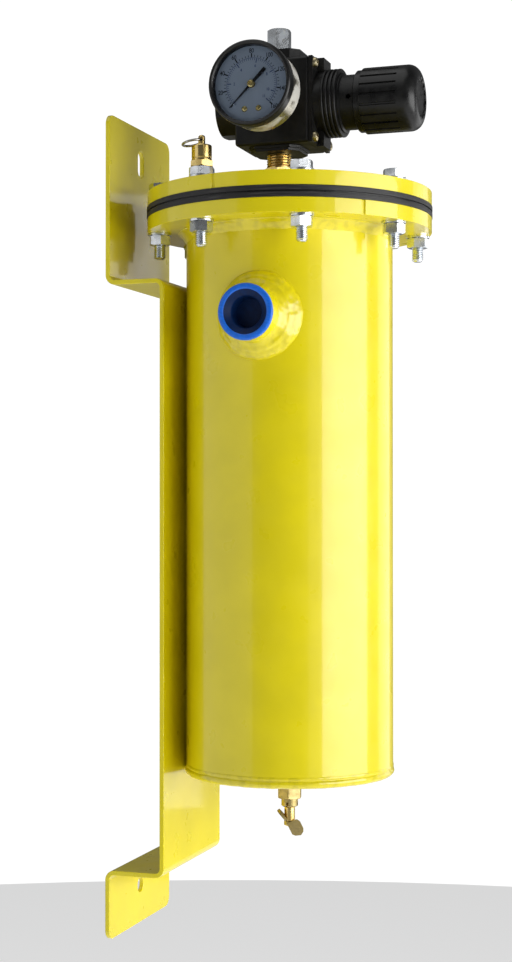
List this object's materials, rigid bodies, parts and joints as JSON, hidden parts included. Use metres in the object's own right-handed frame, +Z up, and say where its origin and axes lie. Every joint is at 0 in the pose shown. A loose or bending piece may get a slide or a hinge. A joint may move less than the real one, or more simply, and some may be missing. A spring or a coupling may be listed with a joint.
{
  "type": "compressed air filter",
  "caption": "Wall-hung compressed air filter: flanged steel vessel on a bent bracket, with regulator, dial gauge, relief valve and drain cock on it.",
  "frame": {"origin": "centre of the bracket's lower bolt hole, on the wall plane", "axes": "+Z up, +Y into the wall, +X to the right of a person who faces the wall"},
  "size_m": [0.1956, 0.211, 0.6202],
  "materials": {
    "yellow_paint": "semi-gloss enamel",
    "black_gasket": "matt",
    "zinc_plate": "bright zinc plate",
    "plain_steel": "plain",
    "filter_paper": "pleated paper",
    "brass": "machined",
    "black_cast": "satin black on a die casting",
    "black_plastic": "satin",
    "black_rubber": "matt",
    "yellow_zinc": "yellow zinc plate",
    "spring_wire": "drawn wire",
    "gauge_metal": "bright plated",
    "black_enamel": "gloss black",
    "clear_lens": "clear",
    "dial_face": "matt white print",
    "blue_plastic": "moulded"
  },
  "bodies": {
    "vessel": {"vessel_shell": "yellow_paint", "floor_plate": "yellow_paint", "lower_flange": "yellow_paint", "inlet_coupling": "yellow_paint", "inlet_baffle": "plain_steel", "drain_bung": "plain_steel", "wall_bracket": "yellow_paint", "lower_gasket": "black_gasket", "upper_gasket": "black_gasket", "cover_plate": "yellow_paint", "flange_bolts": "zinc_plate", "flange_washers": "zinc_plate", "flange_nuts": "zinc_plate", "carrier_plate": "plain_steel", "tie_rod_bridge": "zinc_plate", "tie_rod": "zinc_plate", "tie_rod_nut": "zinc_plate", "cartridge_seal": "black_rubber", "cartridge_top_cap": "plain_steel", "cartridge_bottom_cap": "plain_steel", "cartridge_core": "plain_steel", "cartridge_media": "filter_paper", "drain_body": "brass", "regulator_body": "black_cast", "regulator_nipple": "brass", "outlet_fitting": "zinc_plate", "bonnet": "black_cast", "bonnet_screws": "yellow_zinc", "diaphragm": "black_rubber", "valve_seat": "brass", "poppet_spring": "spring_wire", "valve_cap": "black_cast", "cap_o_ring": "black_rubber", "regulating_spring": "spring_wire", "gauge_case": "gauge_metal", "gauge_bezel": "black_enamel", "gauge_window": "clear_lens", "gauge_dial": "dial_face", "dial_screws": "brass", "gauge_socket": "brass", "bourdon_tube": "brass", "gauge_movement": "brass", "zero_pin": "brass", "relief_coupling": "zinc_plate", "relief_body": "brass", "relief_spring": "spring_wire"},
    "adjusting_screw": {"adjusting_screw": "plain_steel"},
    "knob": {"knob": "black_plastic"},
    "spring_nut": {"spring_nut": "plain_steel"},
    "valve_train": {"poppet": "brass", "diaphragm_plate": "plain_steel"},
    "pointer": {"gauge_pointer": "black_enamel", "pointer_hub": "brass"},
    "sector": {"gauge_sector": "brass"},
    "relief_stem": {"relief_stem": "brass", "relief_seal": "black_rubber"},
    "relief_ring": {"relief_ring": "spring_wire"},
    "drain_needle": {"drain_needle": "brass"},
    "drain_handle": {"drain_handle": "brass"},
    "inlet_cap": {"inlet_cap": "blue_plastic"}
  },
  "joints": [
    {"name": "knob_turn", "type": "hinge", "parent": "vessel", "child": "adjusting_screw", "pos_m": [0, -0.1132, 0.5405], "axis": [0, 1, 0], "range_deg": [0, 2880]},
    {"name": "knob_pull", "type": "slide", "parent": "adjusting_screw", "child": "knob", "axis": [0, -1, 0], "range_m": [0, 0.003]},
    {"name": "spring_nut_travel", "type": "slide", "parent": "vessel", "child": "spring_nut", "axis": [0, 1, 0], "range_m": [0, 0.0101], "deforming": ["regulating_spring"]},
    {"name": "valve_stroke", "type": "slide", "parent": "vessel", "child": "valve_train", "axis": [0, 1, 0], "range_m": [0, 0.0015], "stiffness_N_per_m": 2000, "springref_m": -0.002, "deforming": ["diaphragm", "poppet_spring"]},
    {"name": "pointer_turn", "type": "hinge", "parent": "vessel", "child": "pointer", "pos_m": [-0.07, -0.1098, 0.5405], "axis": [1, 0, 0], "range_deg": [0, 270], "stiffness_Nm_per_rad": 0.0002, "springref_deg": -17.19},
    {"name": "sector_swing", "type": "hinge", "parent": "vessel", "child": "sector", "pos_m": [-0.06, -0.1098, 0.52905], "axis": [1, 0, 0], "range_deg": [-46, 1]},
    {"name": "relief_lift", "type": "slide", "parent": "vessel", "child": "relief_stem", "axis": [0, 0, 1], "range_m": [0, 0.003], "stiffness_N_per_m": 2500, "springref_m": -0.002, "deforming": ["relief_spring"]},
    {"name": "ring_swing", "type": "hinge", "parent": "relief_stem", "child": "relief_ring", "pos_m": [-0.021, -0.0568, 0.5175], "axis": [1, 0, 0], "range_deg": [0, 200]},
    {"name": "drain_travel", "type": "slide", "parent": "vessel", "child": "drain_needle", "axis": [0, 0, -1], "range_m": [0, 0.0025]},
    {"name": "drain_turn", "type": "hinge", "parent": "drain_needle", "child": "drain_handle", "pos_m": [0, -0.1132, 0.0529], "axis": [0, 0, -1], "range_deg": [0, 722]},
    {"name": "cap_pull", "type": "slide", "parent": "vessel", "child": "inlet_cap", "axis": [-1, 0, 0], "range_m": [0, 0.03]}
  ],
  "couplings": [
    {"joint": "spring_nut_travel", "follows": "knob_turn", "m_per_rad": 0.00019894},
    {"joint": "sector_swing", "follows": "pointer_turn", "ratio": -0.16667},
    {"joint": "drain_turn", "follows": "drain_travel", "rad_per_m": 5026.5}
  ]
}
